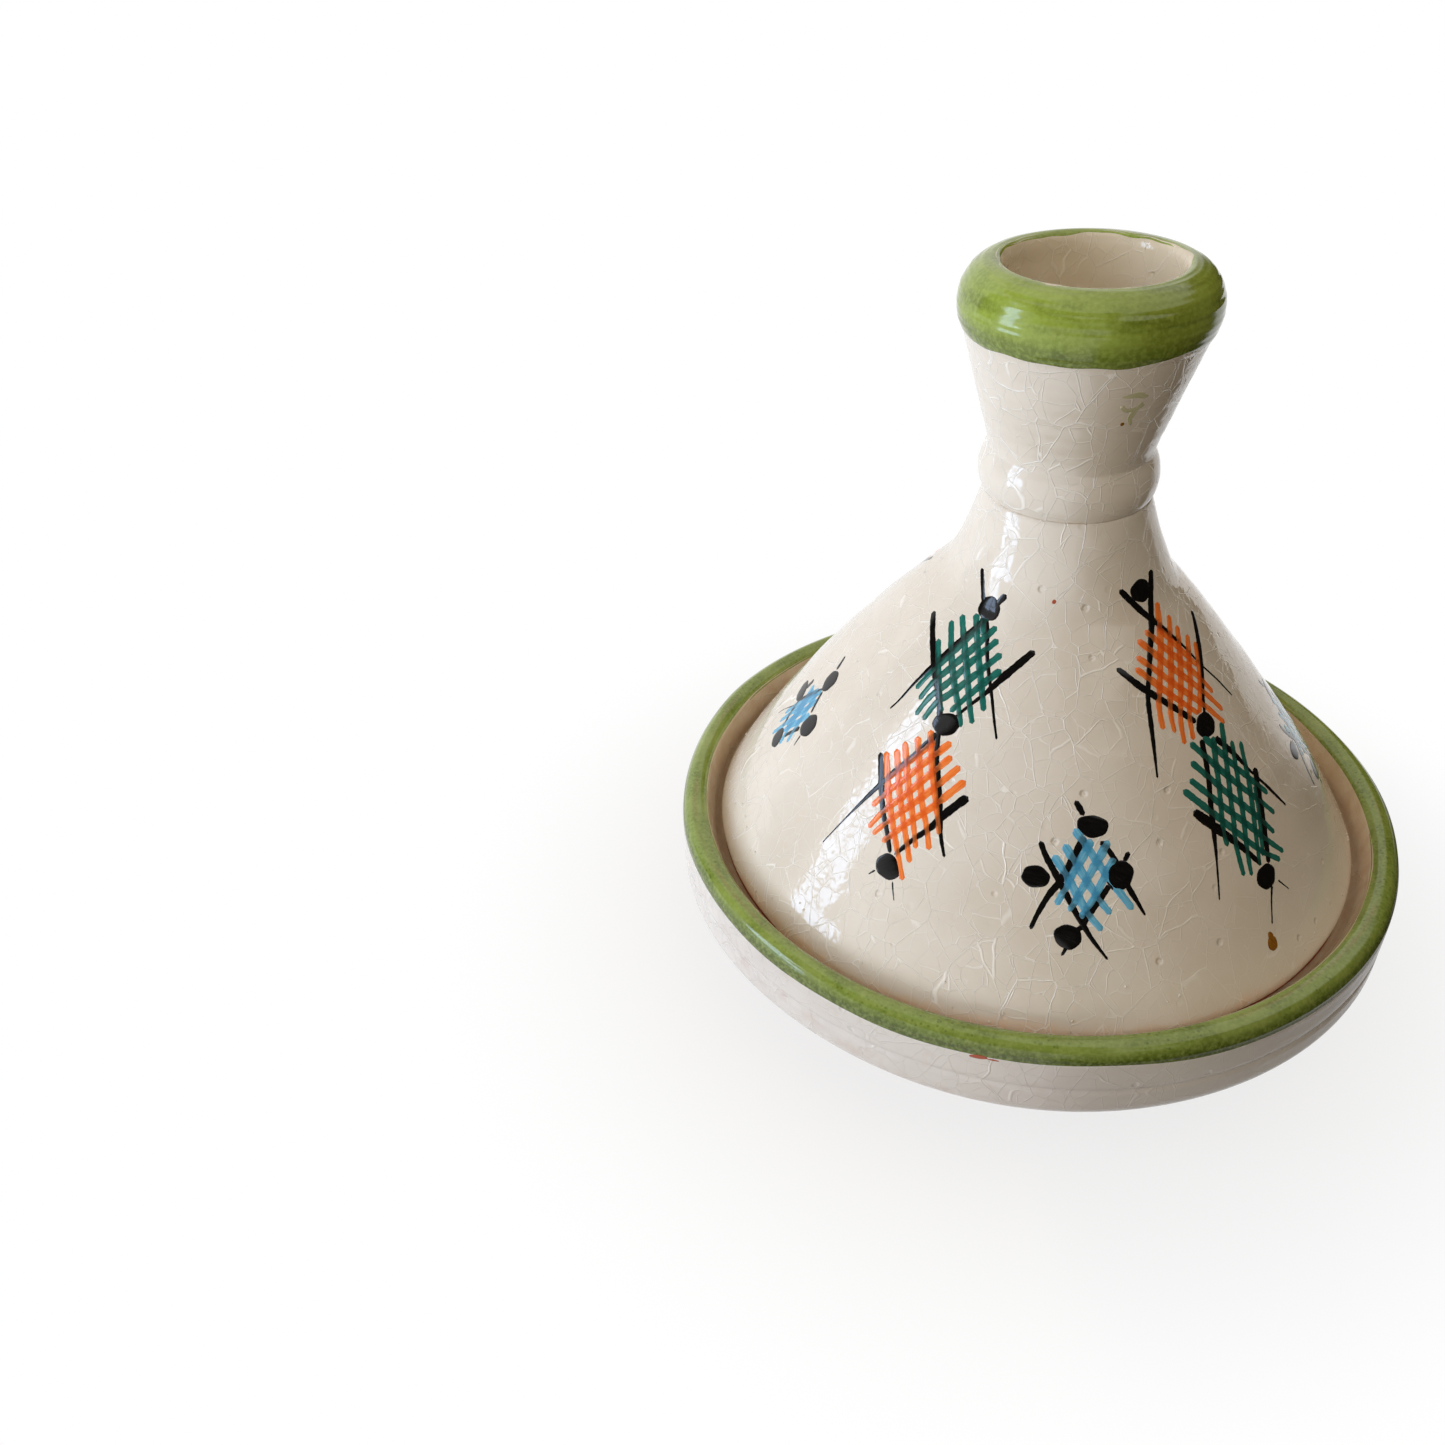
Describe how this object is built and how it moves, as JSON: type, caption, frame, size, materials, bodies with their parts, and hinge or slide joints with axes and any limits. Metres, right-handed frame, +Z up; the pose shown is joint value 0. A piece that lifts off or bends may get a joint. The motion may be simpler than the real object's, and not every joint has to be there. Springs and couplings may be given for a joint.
{
  "type": "tagine pot",
  "caption": "Small glazed earthenware tagine: a footed dish with a gallery and a loose conical lid with a hollow cup-shaped knob.",
  "frame": {"origin": "on the ground, at the centre of the foot ring", "axes": "+Z up along the axis of the dish, the lid and the knob; -Y is the side towards the viewer"},
  "size_m": [0.1322, 0.1322, 0.1284],
  "materials": {
    "bare_clay": "matt unglazed red earthenware",
    "cream_glaze": "glossy cream glaze with a fine craze",
    "green_glaze": "glossy copper green glaze, brushed on in streaks"
  },
  "bodies": {
    "dish": {"dish_clay": "bare_clay", "dish_wall_glaze": "cream_glaze", "dish_rim_glaze": "green_glaze", "dish_bowl_glaze": "cream_glaze"},
    "lid": {"lid_clay": "bare_clay", "lid_glaze": "cream_glaze", "knob_clay": "bare_clay", "knob_glaze": "cream_glaze", "knob_rim_glaze": "green_glaze", "cup_glaze": "cream_glaze"}
  },
  "joints": [
    {"name": "lid_lift", "type": "slide", "parent": "dish", "child": "lid", "axis": [0, 0, 1], "range_m": [0, 0.16]}
  ]
}
